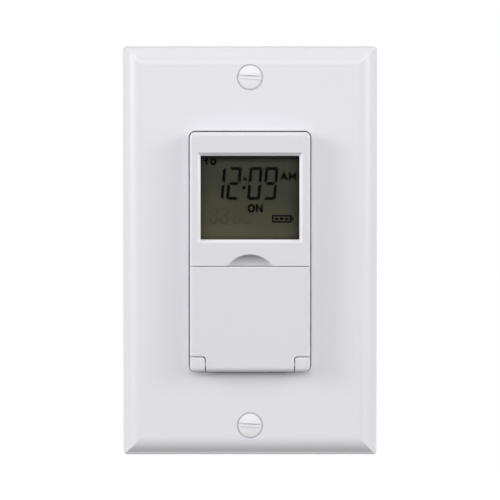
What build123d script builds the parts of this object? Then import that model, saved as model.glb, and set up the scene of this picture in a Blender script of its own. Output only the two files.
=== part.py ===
from build123d import *
import os

os.makedirs("parts", exist_ok=True)

# An in-wall timer that takes the place of a light switch, in millimetres.
# It is drawn as it is seen from the room: x to the right, y up and z out of the wall.
# The wall's surface is z = 0, and the origin is the centre of the wall plate's rear rim.
# The last lines stand every piece upright, so that the saved solids have +Z up.

# Cuts run this far past what they cut
overrun = 1.0
# Edges this near to a level lie on it
hair = 0.005

# From the insert's ends to the box screws, with which they stand 83.34 apart
box_screw_margin = 8.42
# Between a box screw's head and the plate's boss, with which the plate screws stand 96.84 apart
plate_screw_room = 0.25

# Wall plate
plate_width = 71.0
plate_end_margin = 8.73
plate_depth = 5.6
plate_wall = 2.0
plate_rim_land = 1.8
plate_slope_width = 5.3
plate_side_inset = 1.0
plate_side_height = 3.0
plate_corner_radius = 1.1
plate_opening_gap = 0.28
plate_opening_round = 0.25
plate_rib_width = 1.2
plate_rib_clearance = 0.9
plate_boss_radius = 3.2
plate_boss_clearance = 0.3
plate_screw_hole_radius = 2.0

# Oval-head screws that hold the plate
oval_head_radius = 3.4
oval_head_dome = 0.45
oval_head_cone = 1.6
oval_head_clearance = 0.12
oval_slot_width = 1.1
oval_slot_depth = 0.8
oval_slot_turn = -3.3
plate_screw_length = 12.7

# All number 6 machine screws
number_six_radius = 1.7525
screw_point = 0.5
thread_clearance = 0.05

# Mounting strap
strap_standoff = 0.2
strap_thickness = 1.1
strap_side_margin = 4.4
strap_body_end_margin = 5.25
strap_body_corner = 2.0
strap_end_margin = 4.78
strap_end_width = 15.0
strap_end_corner = 2.5
strap_window_gap = 0.3
strap_slot_length = 7.5
strap_slot_width = 4.0
strap_collar_radius = 2.7
strap_collar_depth = 1.3
plaster_ear_radius = 5.8
plaster_ear_neck_length = 1.0
plaster_ear_neck_width = 3.6
plaster_ear_inset = 6.7

# Ground tab and its screw
ground_tab_width = 9.0
ground_tab_depth = 8.7
ground_tab_side_inset = 5.5
ground_screw_head_radius = 3.8
ground_screw_head_height = 2.4
ground_screw_radius = 1.9
ground_screw_length = 4.4

# Screws that hold the strap in the wall box, and their fibre washers
box_screw_head_radius = 3.3
box_screw_head_height = 1.9
box_screw_neck_radius = 1.6
box_screw_neck_past_washer = 0.5
box_screw_length = 20.0
retainer_room = 0.05
retainer_thickness = 0.8
retainer_corner = 1.0

# Timer unit that stands through the plate
unit_front = 9.6
unit_corner_radius = 1.6
unit_edge_round = 1.1
unit_wall = 1.6
flange_side_margin = 4.4
flange_end_margin = 3.25
flange_corner_radius = 2.5
flange_thickness = 2.0

# Heat stakes that hold the strap on the flange
stake_radius = 1.0
stake_clearance = 0.1
stake_head_radius = 1.6
stake_head_height = 0.7
stake_spread = 24.0
stake_inset = 1.3

# Display opening and what lies behind it
screen_width = 27.4
screen_height = 23.2
screen_side_margin = 3.0
screen_top_margin = 6.6
screen_chin = 7.25
screen_corner_radius = 0.3
screen_bevel_width = 0.9
screen_bevel_depth = 1.4
screen_lip = 0.2
lens_margin = 1.15
lens_clearance = 0.1
lens_thickness = 1.0
lens_corner_radius = 0.6
lcd_side_margin = 0.95
lcd_end_margin = 2.05
lcd_ledge = 1.7
lcd_glass_thickness = 1.1
lcd_clearance = 0.1
reflector_thickness = 0.5
reflector_margin = 0.4
holder_rail = 0.9
holder_rail_height = 2.4
holder_tray = 1.2
holder_wall = 1.0
zebra_width = 1.3
zebra_end_margin = 2.0
zebra_clearance = 0.06

# Finger notch above the cover
scoop_width = 12.6
scoop_height = 3.2
scoop_depth = 1.75
scoop_rim_round = 0.25

# Flip cover, its bed and its hinge
door_thickness = 1.6
door_seat_gap = 0.2
seam_gap = 0.25
door_edge_round = 0.3
door_pocket_depth = 0.4
door_pocket_margin = 2.2
door_foot_thickness = 2.4
door_foot_round = 1.3
seam_lip_reach = 1.0
seam_lip_drop = 0.7
seam_lip_clearance = 0.15
door_heel_round = 0.7
door_heel_height = 1.5
snap_nub_length = 4.0
snap_nub_height = 0.1
snap_nub_thickness = 0.6
snap_nub_spread = 22.0
hinge_inset = 1.2
hinge_height = 2.05
hinge_pin_radius = 0.75
hinge_pin_length = 2.4
hinge_pin_clearance = 0.05
hinge_trough_clearance = 0.25
hinge_sill_drop = 2.7
ear_width = 4.2
ear_height = 4.05
ear_gap = 0.25
ear_side_gap = 0.25
ear_corner_radius = 0.7
ear_lip_reach = 0.65
ear_top_round = 0.45
ear_foot_round = 1.2

# Key bay behind the cover
bay_depth = 3.0
bay_floor_thickness = 1.4
bay_head_land = 1.6
bay_corner_radius = 1.2

# Keys and the switches under them
key_clearance = 0.4
key_gap = 0.2
key_side_room = 2.0
key_spacing_across = 2.2
key_spacing_down = 2.2
key_corner_radius = 0.9
key_top_round = 0.35
key_first_row = 4.05
key_last_row = 6.3
switch_spacing = 0.6
key_flange_thickness = 0.7
key_flange_lip = 0.7
reset_key_radius = 1.1
switch_size = 6.0
switch_height = 7.0
switch_body_height = 3.5
switch_corner_radius = 0.4
plunger_radius = 1.75
plunger_clearance = 0.1
plunger_sunk_length = 0.8
key_travel = 0.5

# Boards and the screws that hold the control board
board_thickness = 1.6
board_end_gap = 0.5
power_board_inset = 1.7
board_corner_radius = 1.0
board_gap = 0.3
board_post_radius = 1.7
board_post_inset = 2.0
board_post_head_drop = 0.85
board_post_foot_inset = 2.3
board_screw_radius = 1.0
board_screw_length = 6.0
board_screw_head_radius = 1.8
board_screw_head_height = 1.2

# Pieces on the control board
controller_size = 10.0
controller_height = 1.4
controller_lead_reach = 1.2
controller_lead_height = 0.3
crystal_radius = 1.2
crystal_length = 6.0
battery_radius = 7.75
battery_height = 5.0
clip_width = 4.0
clip_thickness = 0.3
clip_leg_gap = 0.3
header_pins = 6
header_pin_spacing = 2.54
header_pin_radius = 0.32
header_spacer_width = 2.5
header_spacer_height = 2.5

# Pieces on the power board
inner_gap = 0.4
sheet_thickness = 0.4
sheet_foot_margin = 3.9
sheet_corner_radius = 1.5
relay_width = 15.5
relay_length = 19.0
relay_height = 15.2
relay_round = 0.6
filter_width = 18.0
filter_length = 7.5
filter_height = 13.0
filter_round = 0.8
supply_radius = 4.0
supply_height = 12.0
supply_round = 0.6
supply_spread = 15.0
varistor_radius = 4.8
varistor_thickness = 3.6
varistor_standoff = 1.2
varistor_leads = 5.0
lead_radius = 0.4
fuse_radius = 4.1
fuse_height = 7.0
fuse_gap = 1.5
resistor_radius = 1.9
resistor_length = 11.0
diode_radius = 1.3
diode_length = 5.2
diode_gap = 0.55

# Rear housing
rear_side_lip = 0.5
rear_end_lip = 4.0
rear_corner_radius = 3.0
rear_wall = 1.8
rear_draft = 1.0
pin_room = 3.2
board_rest_radius = 1.6
column_radius = 2.6
column_side_gap = 0.2
column_end_gap = 0.4
boss_height = 5.2
case_screw_radius = 1.3
case_screw_hole_clearance = 0.2
case_screw_grip = 4.2
case_screw_head_radius = 2.3
case_screw_head_height = 1.5
case_screw_recess_radius = 2.7
case_screw_recess_depth = 2.0

# Wire terminals in the sides of the rear housing
terminal_offset = 14.0
terminal_bay_height = 12.0
terminal_bay_depth = 5.0
terminal_bay_wall = 1.8
terminal_bay_gap = 0.3
terminal_plate_width = 8.5
terminal_plate_length = 8.0
terminal_plate_thickness = 1.0
terminal_tongue_width = 4.0
terminal_tongue_thickness = 0.8
terminal_tongue_overlap = 1.2
terminal_slot_clearance = 0.2
terminal_screw_radius = 1.85
terminal_screw_hole_clearance = 0.25
terminal_screw_head_radius = 3.7
terminal_screw_head_height = 2.1
terminal_screw_tip_gap = 0.3
terminal_slot_width = 1.2
terminal_slot_depth = 1.1

# Sizes that follow from the ones above
unit_width = screen_width + 2 * screen_side_margin
unit_head_height = screen_top_margin + screen_height + screen_chin
key_pitch_down = switch_size + switch_spacing
key_rows_height = bay_head_land + key_first_row + 2 * key_pitch_down + key_last_row
unit_height = unit_head_height + key_rows_height + ear_gap + ear_height
flange_width = unit_width + 2 * flange_side_margin
flange_height = unit_height + 2 * flange_end_margin
box_screw_spacing = unit_height + 2 * box_screw_margin
plate_screw_offset = box_screw_head_radius + plate_boss_radius + plate_screw_room
plate_screw_spacing = box_screw_spacing + 2 * plate_screw_offset
plate_height = plate_screw_spacing + 2 * plate_end_margin
retainer_size = 2 * (plate_screw_offset - strap_collar_radius - retainer_room)
strap_width = unit_width + 2 * strap_side_margin
strap_body_height = unit_height + 2 * strap_body_end_margin
strap_length = plate_screw_spacing + 2 * strap_end_margin
ground_tab_offset = strap_width / 2 - ground_tab_side_inset
lcd_width = screen_width + 2 * lcd_side_margin
lcd_front_glass_height = screen_height + 2 * lcd_end_margin
lcd_rear_glass_height = lcd_front_glass_height - 2 * lcd_ledge
zebra_length = lcd_width - 2 * zebra_end_margin
bay_width = unit_width - 2 * unit_wall
key_width = (bay_width - 2 * key_side_room - 2 * key_spacing_across) / 3
key_height = key_pitch_down - key_spacing_down
key_pitch_across = key_width + key_spacing_across
rear_width = flange_width - 2 * rear_side_lip
rear_height = flange_height - 2 * rear_end_lip
column_x = rear_width / 2 - rear_wall - column_radius - column_side_gap
column_y = rear_height / 2 - rear_wall - column_radius - column_end_gap
terminal_floor_x = rear_width / 2 - terminal_bay_depth
board_side_x = min(column_x - column_radius, terminal_floor_x - terminal_bay_wall)
board_width = 2 * (board_side_x - board_gap)
board_height = rear_height - 2 * (rear_wall + board_end_gap)
power_board_height = board_height - 2 * power_board_inset
tallest_part = max(relay_height, filter_height, supply_height, varistor_standoff + 2 * varistor_radius)

# Places that follow from the sizes above
strap_back = strap_standoff
strap_front = strap_back + strap_thickness
plate_inside = plate_depth - plate_wall
plate_screw_y = plate_screw_spacing / 2
box_screw_y = box_screw_spacing / 2
unit_top = unit_height / 2
unit_foot = -unit_height / 2
flange_back = strap_back - flange_thickness
seam_y = unit_top - unit_head_height
door_top = seam_y - seam_gap
door_back = unit_front - door_thickness
bed_level = door_back - door_seat_gap
lip_level = unit_front - seam_lip_drop
lip_foot = seam_y - seam_lip_reach
ear_top = unit_foot + ear_height
shoulder_y = ear_top + ear_gap
ear_inner_x = unit_width / 2 - ear_width
barrel_half = ear_inner_x - ear_side_gap
hinge_y = unit_foot + hinge_height
hinge_z = unit_front - hinge_inset
screen_y = unit_top - screen_top_margin - screen_height / 2
lens_front = unit_front - screen_bevel_depth - screen_lip
lens_back = lens_front - lens_thickness
lcd_front = lens_back - lcd_clearance
lcd_back = lcd_front - 2 * lcd_glass_thickness
reflector_back = lcd_back - reflector_thickness
bay_top = seam_y - bay_head_land
bay_foot = ear_top + ear_lip_reach
bay_floor = unit_front - bay_depth
bay_floor_back = bay_floor - bay_floor_thickness
key_top = door_back - key_clearance
key_flange_back = bay_floor_back - key_flange_thickness
first_row_y = bay_top - key_first_row
control_front = key_flange_back - switch_height
control_back = control_front - board_thickness
battery_back = control_back - battery_height
sheet_front = battery_back - inner_gap
sheet_back = sheet_front - sheet_thickness
power_front = sheet_back - tallest_part
power_back = power_front - board_thickness
rear_inside = power_back - pin_room
rear_back = rear_inside - rear_wall
boss_back = flange_back - boss_height
terminal_z = power_front + terminal_plate_length / 2
terminal_sides = [(1, terminal_offset), (1, -terminal_offset), (-1, terminal_offset)]

# Keys in the two lower rows, by column and row from the middle of the top row
small_keys = [
    ("program", -1, 1),
    ("clock", 0, 1),
    ("day", 1, 1),
    ("hour", -1, 2),
    ("minute", 0, 2),
    ("mode", 1, 2),
]

# Centres on the control board, as shares of its width and height
controller_place_share = (0, 0.2)
crystal_place_share = (0.33, 0.2)
battery_place_share = (0, -0.28)

# Where the rear housing's posts meet the power board, as shares of its width and height
board_rest_place_share = (0.42, 0.4)

# Rows of pieces down the power board, with the height that each takes
power_rows = {
    "header": header_spacer_width,
    "supply": 2 * supply_radius,
    "filter": filter_length,
    "resistor": 2 * resistor_radius,
    "relay": relay_length,
    "fuse": 2 * fuse_radius,
}


# Shapes that several pieces use

def block(width, height, front, back, x=0, y=0):
    return Pos(x, y, back) * extrude(Rectangle(width, height), front - back)


def rounded_block(width, height, corner, front, back, x=0, y=0):
    return Pos(x, y, back) * extrude(RectangleRounded(width, height, corner), front - back)


def rod(radius, front, back, x=0, y=0):
    return Pos(x, y, back) * extrude(Circle(radius), front - back)


def cross_rod(radius, left, right, y, z):
    """A round bar that runs from left to right."""
    return Pos(left, y, z) * extrude(Plane.YZ * Circle(radius), right - left)


def edges_at(part, level):
    return part.edges().filter_by_position(Axis.Z, level - hair, level + hair)


def spin(*outline):
    """Turn a half outline of radius and depth about the z axis."""
    return revolve(Plane.XZ * make_face(outline), Axis.Z)


def pan_screw(head_radius, head_height, radius, length):
    """Head seated at z = 0 and facing +z, shank towards -z."""
    crown = head_height / 2
    return spin(
        TangentArc((0, head_height), (head_radius, crown), tangent=(1, 0)),
        Polyline(
            (head_radius, crown),
            (head_radius, 0),
            (radius, 0),
            (radius, screw_point - length),
            (radius - screw_point, -length),
            (0, -length),
            (0, head_height),
        ),
    )


def cross_recess(head_radius, head_height):
    arm = block(head_radius, head_radius / 4, head_height + overrun, head_height / 3)
    return arm + Rot(Z=90) * arm


def board_place(share):
    return share[0] * board_width, share[1] * board_height


def power_row_y(name):
    """Middle of a row on the power board; the rows share out the room that is left."""
    space = (power_board_height - sum(power_rows.values())) / (len(power_rows) + 1)
    top = power_board_height / 2
    for row, height in power_rows.items():
        top -= space
        if row == name:
            return top - height / 2
        top -= height


def four_corners(x, y):
    return [(x, y), (-x, y), (x, -y), (-x, -y)]


# Wall plate and its screws

def rim_section(half, depth, slope, lean, rise):
    """Cross-section from one rear edge, over the curved slopes and the flat face, to the other."""
    return make_face(
        [
            Line((-half, 0), (half, 0)),
            Line((half, 0), (half - lean, rise)),
            TangentArc((half - slope, depth), (half - lean, rise), tangent=(1, 0)),
            Line((half - slope, depth), (slope - half, depth)),
            TangentArc((slope - half, depth), (lean - half, rise), tangent=(-1, 0)),
            Line((lean - half, rise), (-half, 0)),
        ]
    )


def mitred_dome(width, height, depth, slope, lean, rise):
    """Two crossed sections, whose common part has mitred corners."""
    across = rim_section(width / 2, depth, slope, lean, rise)
    along = rim_section(height / 2, depth, slope, lean, rise)
    upright = extrude(Plane.XZ * across, height / 2, both=True)
    level = extrude(Plane.YZ * along, width / 2, both=True)
    return upright & level


def plate_screw_cuts(y):
    seat = oval_head_radius + oval_head_clearance
    hole = rod(plate_screw_hole_radius, plate_depth + overrun, -overrun, y=y)
    sink = spin(
        Polyline(
            (0, plate_depth + overrun),
            (seat, plate_depth + overrun),
            (seat, plate_depth),
            (plate_screw_hole_radius, plate_depth - oval_head_cone),
            (0, plate_depth - oval_head_cone),
            (0, plate_depth + overrun),
        )
    )
    return hole + Pos(0, y, 0) * sink


def opening_edges(plate):
    half_width = unit_width / 2 + plate_opening_gap + plate_rib_width
    half_height = unit_height / 2 + plate_opening_gap + plate_rib_width
    edges = edges_at(plate, plate_depth)
    return [
        edge
        for edge in edges
        if abs(edge.center().X) < half_width and abs(edge.center().Y) < half_height
    ]


def wall_plate():
    hollow_share = plate_inside / plate_depth
    opening_width = unit_width + 2 * plate_opening_gap
    opening_height = unit_height + 2 * plate_opening_gap
    opening_corner = unit_corner_radius + plate_opening_gap
    plate = mitred_dome(
        plate_width, plate_height, plate_depth, plate_slope_width, plate_side_inset, plate_side_height
    )
    plate &= rounded_block(plate_width, plate_height, plate_corner_radius, plate_depth, 0)
    plate -= mitred_dome(
        plate_width - 2 * plate_rim_land,
        plate_height - 2 * plate_rim_land,
        plate_inside,
        plate_slope_width,
        plate_side_inset * hollow_share,
        plate_side_height * hollow_share,
    )
    plate += rounded_block(
        opening_width + 2 * plate_rib_width,
        opening_height + 2 * plate_rib_width,
        opening_corner + plate_rib_width,
        plate_inside + plate_wall / 2,
        strap_front + plate_rib_clearance,
    )
    for y in (plate_screw_y, -plate_screw_y):
        boss_front = plate_inside + plate_wall / 2
        plate += rod(plate_boss_radius, boss_front, strap_front + plate_boss_clearance, y=y)
    plate -= rounded_block(
        opening_width, opening_height, opening_corner, plate_depth + overrun, -overrun
    )
    plate = fillet(opening_edges(plate), plate_opening_round)
    for y in (plate_screw_y, -plate_screw_y):
        plate -= plate_screw_cuts(y)
    return plate


def oval_screw():
    """Rim of the head at z = 0, dome towards +z, shank towards -z."""
    body = spin(
        TangentArc((0, oval_head_dome), (oval_head_radius, 0), tangent=(1, 0)),
        Polyline(
            (oval_head_radius, 0),
            (number_six_radius, -oval_head_cone),
            (number_six_radius, screw_point - plate_screw_length),
            (number_six_radius - screw_point, -plate_screw_length),
            (0, -plate_screw_length),
            (0, oval_head_dome),
        ),
    )
    slot_floor = oval_head_dome - oval_slot_depth
    slot = block(2 * oval_head_radius, oval_slot_width, oval_head_dome + overrun, slot_floor)
    return body - Rot(Z=oval_slot_turn) * slot


def plate_screws():
    return [Pos(0, y, plate_depth) * oval_screw() for y in (plate_screw_y, -plate_screw_y)]


# Mounting strap and its screws

def plaster_ear_shape():
    x = strap_end_width / 2 + plaster_ear_neck_length + plaster_ear_radius
    y = strap_length / 2 - plaster_ear_inset
    neck_length = plaster_ear_neck_length + plaster_ear_radius + strap_end_corner
    neck = Pos(x - neck_length / 2, y) * Rectangle(neck_length, plaster_ear_neck_width)
    return Pos(x, y) * Circle(plaster_ear_radius) + neck


def ground_tab():
    edge_y = -strap_body_height / 2
    x = -ground_tab_offset
    tab = block(
        ground_tab_width,
        strap_thickness,
        strap_front,
        strap_back - ground_tab_depth,
        x=x,
        y=edge_y + strap_thickness / 2,
    )
    hole_radius = ground_screw_radius + thread_clearance
    hole = extrude(Plane.XZ * Circle(hole_radius), strap_body_height)
    return tab - Pos(x, 0, ground_screw_z()) * hole


def ground_screw_z():
    return strap_back - ground_tab_depth + ground_screw_head_radius + strap_thickness / 2


def stake_places():
    return four_corners(stake_spread / 2, flange_height / 2 - stake_inset)


def mounting_strap():
    window_corner = unit_corner_radius + strap_window_gap
    shape = RectangleRounded(strap_width, strap_body_height, strap_body_corner)
    shape += RectangleRounded(strap_end_width, strap_length, strap_end_corner)
    ear = plaster_ear_shape()
    for quarter in (ear, mirror(ear, about=Plane.YZ)):
        shape += quarter
        shape += mirror(quarter, about=Plane.XZ)
    shape -= RectangleRounded(
        unit_width + 2 * strap_window_gap, unit_height + 2 * strap_window_gap, window_corner
    )
    for y in (box_screw_y, -box_screw_y):
        shape -= Pos(0, y) * SlotOverall(strap_slot_length, strap_slot_width)
    for x, y in stake_places():
        shape -= Pos(x, y) * Circle(stake_radius + stake_clearance)
    strap = Pos(0, 0, strap_back) * extrude(shape, strap_thickness)
    for y in (plate_screw_y, -plate_screw_y):
        strap += rod(strap_collar_radius, strap_front, strap_back - strap_collar_depth, y=y)
        tapped = number_six_radius + thread_clearance
        strap -= rod(tapped, strap_front + overrun, strap_back - strap_collar_depth - overrun, y=y)
    return strap + ground_tab()


def ground_screw():
    screw = pan_screw(
        ground_screw_head_radius,
        ground_screw_head_height,
        ground_screw_radius,
        ground_screw_length,
    )
    slot = block(
        2 * ground_screw_head_radius,
        terminal_slot_width,
        ground_screw_head_height + overrun,
        ground_screw_head_height - terminal_slot_depth,
    )
    seat = Pos(-ground_tab_offset, -strap_body_height / 2, ground_screw_z())
    return seat * Rot(X=90) * (screw - slot)


def box_screws():
    neck_length = strap_front - strap_back + retainer_thickness + box_screw_neck_past_washer
    screw = spin(
        TangentArc(
            (0, box_screw_head_height),
            (box_screw_head_radius, box_screw_head_height / 2),
            tangent=(1, 0),
        ),
        Polyline(
            (box_screw_head_radius, box_screw_head_height / 2),
            (box_screw_head_radius, 0),
            (box_screw_neck_radius, 0),
            (box_screw_neck_radius, -neck_length),
            (number_six_radius, -neck_length),
            (number_six_radius, screw_point - box_screw_length),
            (number_six_radius - screw_point, -box_screw_length),
            (0, -box_screw_length),
            (0, box_screw_head_height),
        ),
    )
    screw -= cross_recess(box_screw_head_radius, box_screw_head_height)
    return [Pos(0, y, strap_front) * screw for y in (box_screw_y, -box_screw_y)]


def screw_retainers():
    hole = box_screw_neck_radius + thread_clearance
    back = strap_back - retainer_thickness
    washer = rounded_block(retainer_size, retainer_size, retainer_corner, strap_back, back)
    washer -= rod(hole, strap_back + overrun, back - overrun)
    return [Pos(0, y, 0) * washer for y in (box_screw_y, -box_screw_y)]


# Front housing

def hinge_ear():
    """The right ear: a side profile crossed with its outline from the front."""
    back = bed_level - overrun
    profile = make_face(
        [
            Polyline(
                (unit_foot, unit_front - ear_foot_round),
                (unit_foot, back),
                (ear_top, back),
                (ear_top, unit_front - ear_top_round),
            ),
            TangentArc(
                (ear_top, unit_front - ear_top_round),
                (ear_top - ear_top_round, unit_front),
                tangent=(0, 1),
            ),
            Line((ear_top - ear_top_round, unit_front), (unit_foot + ear_foot_round, unit_front)),
            TangentArc(
                (unit_foot + ear_foot_round, unit_front),
                (unit_foot, unit_front - ear_foot_round),
                tangent=(-1, 0),
            ),
        ]
    )
    side = extrude(Plane.YZ * profile, unit_width)
    width = 2 * ear_width
    height = 2 * ear_height
    outline = rounded_block(
        width,
        height,
        ear_corner_radius,
        unit_front + overrun,
        back,
        x=ear_inner_x + width / 2,
        y=ear_top - height / 2,
    )
    return side & outline


def scoop():
    """A dished finger notch, round as seen from the front."""
    radius = ((scoop_width / 2) ** 2 + scoop_height**2) / (2 * scoop_height)
    flat_radius = radius - scoop_height
    floor = unit_front - scoop_depth
    dish = spin(
        TangentArc((flat_radius, floor), (radius, unit_front), tangent=(1, 0)),
        Polyline(
            (radius, unit_front),
            (radius, unit_front + overrun),
            (0, unit_front + overrun),
            (0, floor),
            (flat_radius, floor),
        ),
    )
    return Pos(0, seam_y + scoop_height - radius, 0) * dish


def screen_opening():
    """The bevelled frame, the opening behind it and the pocket for the pane."""
    bevel_back = unit_front - screen_bevel_depth
    spread = 2 * screen_bevel_width
    near = Pos(0, 0, unit_front) * Rectangle(screen_width + spread, screen_height + spread)
    far = Pos(0, 0, bevel_back) * Rectangle(screen_width, screen_height)
    pocket = 2 * (lens_margin + lens_clearance)
    cut = loft([far, near])
    cut += rounded_block(
        screen_width, screen_height, screen_corner_radius, bevel_back, lens_front - overrun
    )
    cut += rounded_block(
        screen_width + pocket,
        screen_height + pocket,
        lens_corner_radius + lens_clearance,
        lens_front,
        lens_back,
    )
    return Pos(0, screen_y, 0) * cut


def housing_cavities():
    """The room behind the display and the room behind the key bay's floor."""
    back = flange_back - overrun
    upper_foot = bay_top + bay_head_land
    upper_top = unit_top - unit_wall
    lower_foot = unit_foot + unit_wall
    upper = block(
        bay_width,
        upper_top - upper_foot,
        lens_back,
        back,
        y=(upper_top + upper_foot) / 2,
    )
    lower = block(
        bay_width,
        upper_top - lower_foot,
        bay_floor_back,
        back,
        y=(upper_top + lower_foot) / 2,
    )
    return upper + lower


def board_posts():
    """Places of the four posts that carry the control board."""
    x = board_width / 2 - board_post_inset
    return [
        (x, seam_y + board_post_head_drop),
        (-x, seam_y + board_post_head_drop),
        (x, board_post_foot_inset - board_height / 2),
        (-x, board_post_foot_inset - board_height / 2),
    ]


def heat_stake():
    shank = rod(stake_radius, strap_front, strap_back - flange_thickness / 2)
    head = spin(
        TangentArc((0, stake_head_height), (stake_head_radius, 0), tangent=(1, 0)),
        Polyline((stake_head_radius, 0), (0, 0), (0, stake_head_height)),
    )
    return shank + Pos(0, 0, strap_front) * head


def insert_block():
    """The outside of the insert, which the cover and the ears share."""
    back = flange_back + flange_thickness / 2
    insert = rounded_block(unit_width, unit_height, unit_corner_radius, unit_front, back)
    return fillet(edges_at(insert, unit_front), unit_edge_round)


def seam_lips(clearance=0):
    """Lips that close the seams over and under the cover from behind; its edges are rebated for them."""
    front = lip_level + clearance
    back = bed_level - overrun
    width = unit_width + 2 * overrun
    upper = block(width, 2 * (seam_lip_reach + clearance), front, back, y=seam_y)
    reach = ear_lip_reach + clearance
    ear_half = ear_width - ear_corner_radius + clearance
    lower = block(2 * ear_half, 2 * reach, front, back, x=unit_width / 2, y=ear_top)
    return upper + lower + mirror(lower, about=Plane.YZ)


def front_housing():
    insert = insert_block()
    bed = block(
        unit_width + 2 * overrun,
        unit_height,
        unit_front + overrun,
        bed_level,
        y=seam_y - unit_height / 2,
    )
    ear = hinge_ear() & insert
    body = insert - bed + ear + mirror(ear, about=Plane.YZ)
    body += seam_lips() & insert
    body += rounded_block(
        flange_width, flange_height, flange_corner_radius, strap_back, flange_back
    )
    body -= rounded_block(
        bay_width,
        bay_top - bay_foot,
        bay_corner_radius,
        bed_level + overrun,
        bay_floor,
        y=(bay_top + bay_foot) / 2,
    )
    body -= hinge_trough()
    body -= scoop()
    rim = [edge for edge in edges_at(body, unit_front) if edge.geom_type == GeomType.CIRCLE
           and seam_y < edge.center().Y < seam_y + scoop_height + scoop_rim_round]
    body = fillet(rim, scoop_rim_round)
    body -= housing_cavities()
    body -= screen_opening()
    body = drill_for_keys(body)
    for x, y in board_posts():
        body += rod(board_post_radius, bay_floor_back + bay_floor_thickness / 2, control_front, x, y)
        hole = board_screw_radius + thread_clearance
        body -= rod(hole, control_back + board_screw_length + inner_gap, control_front, x, y)
    for x, y in four_corners(column_x, column_y):
        body += rod(column_radius, flange_back + flange_thickness / 2, boss_back, x, y)
        hole = case_screw_radius + thread_clearance
        body -= rod(hole, boss_back + case_screw_grip + inner_gap, boss_back, x, y)
    for x, y in stake_places():
        body += Pos(x, y, 0) * heat_stake()
    return body


def hinge_trough():
    """The room in which the cover's foot turns, and the bores for its pins."""
    radius = hinge_height + hinge_trough_clearance
    trough = cross_rod(radius, -ear_inner_x, ear_inner_x, hinge_y, hinge_z)
    sill = block(
        2 * ear_inner_x,
        hinge_height + overrun,
        unit_front + overrun,
        unit_front - hinge_sill_drop,
        y=hinge_y - (hinge_height + overrun) / 2,
    )
    bore_half = barrel_half + hinge_pin_length + ear_side_gap
    bore = cross_rod(
        hinge_pin_radius + hinge_pin_clearance, -bore_half, bore_half, hinge_y, hinge_z
    )
    return trough + sill + bore


def drill_for_keys(body):
    front = bay_floor + overrun
    back = bay_floor_back - overrun
    for name, x, y, width in key_list():
        if width:
            gap = 2 * key_gap
            corner = key_corner_radius + key_gap
            body -= rounded_block(width + gap, key_height + gap, corner, front, back, x, y)
        else:
            body -= rod(reset_key_radius + key_gap, front, back, x, y)
    return body


def display_window():
    return rounded_block(
        screen_width + 2 * lens_margin,
        screen_height + 2 * lens_margin,
        lens_corner_radius,
        lens_front,
        lens_back,
        y=screen_y,
    )


def lcd_panel():
    step = lcd_front - lcd_glass_thickness
    front = block(lcd_width, lcd_front_glass_height, lcd_front, step, y=screen_y)
    rear = block(lcd_width, lcd_rear_glass_height, step, lcd_back, y=screen_y)
    return front + rear


def lcd_reflector():
    return block(
        lcd_width - 2 * reflector_margin,
        lcd_rear_glass_height - 2 * reflector_margin,
        lcd_back,
        reflector_back,
        y=screen_y,
    )


def zebra_y():
    """How far the connector strips stand above and below the display's middle."""
    return (lcd_front_glass_height + lcd_rear_glass_height) / 4


def lcd_holder():
    height = lcd_front_glass_height + 2 * holder_rail + 2 * lcd_clearance
    rail_y = (height - holder_rail) / 2
    channel = zebra_width + 2 * zebra_clearance
    hollow_height = 2 * (zebra_y() - channel / 2 - holder_wall)
    body = block(lcd_width, height, reflector_back, control_front)
    for side in (1, -1):
        top = reflector_back + holder_rail_height
        body += block(lcd_width, holder_rail, top, control_front, y=side * rail_y)
        body -= block(
            zebra_length + 2 * zebra_clearance,
            channel,
            reflector_back + overrun,
            control_front - overrun,
            y=side * zebra_y(),
        )
    body -= block(
        lcd_width - 2 * holder_wall,
        hollow_height,
        reflector_back - holder_tray,
        control_front - overrun,
    )
    body = Pos(0, screen_y, 0) * body
    for x, y in four_corners(column_x, column_y):
        body -= rod(column_radius + board_gap, 0, control_front - overrun, x, y)
    return body


def zebra_strips():
    front = lcd_front - lcd_glass_thickness
    strip = block(zebra_length, zebra_width, front, control_front)
    return [Pos(0, screen_y + side * zebra_y(), 0) * strip for side in (1, -1)]


# Flip cover

def door_outline():
    upper_height = door_top - shoulder_y
    lower_height = shoulder_y - hinge_y
    width = unit_width + 2 * overrun
    shape = Pos(0, (door_top + shoulder_y) / 2) * Rectangle(width, upper_height)
    shape += Pos(0, shoulder_y - lower_height / 2) * Rectangle(2 * barrel_half, lower_height)
    inner = [corner for corner in shape.vertices() if abs(corner.Y - shoulder_y) < hair
             and abs(abs(corner.X) - barrel_half) < hair]
    return fillet(inner, ear_corner_radius + ear_gap)


def door_foot():
    """Side profile of the thick lower edge, which turns about the hinge axis."""
    heel = unit_front - door_foot_thickness
    heel_top = hinge_y + door_heel_height
    step = door_back - heel
    profile = make_face(
        [
            Line((heel_top, unit_front), (unit_foot + door_foot_round, unit_front)),
            TangentArc(
                (unit_foot + door_foot_round, unit_front),
                (unit_foot, unit_front - door_foot_round),
                tangent=(-1, 0),
            ),
            Line((unit_foot, unit_front - door_foot_round), (unit_foot, heel + door_heel_round)),
            TangentArc(
                (unit_foot, heel + door_heel_round),
                (unit_foot + door_heel_round, heel),
                tangent=(0, -1),
            ),
            Polyline(
                (unit_foot + door_heel_round, heel),
                (heel_top - step, heel),
                (heel_top, door_back),
                (heel_top, unit_front),
            ),
        ]
    )
    return extrude(Plane.YZ * profile, barrel_half, both=True)


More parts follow.
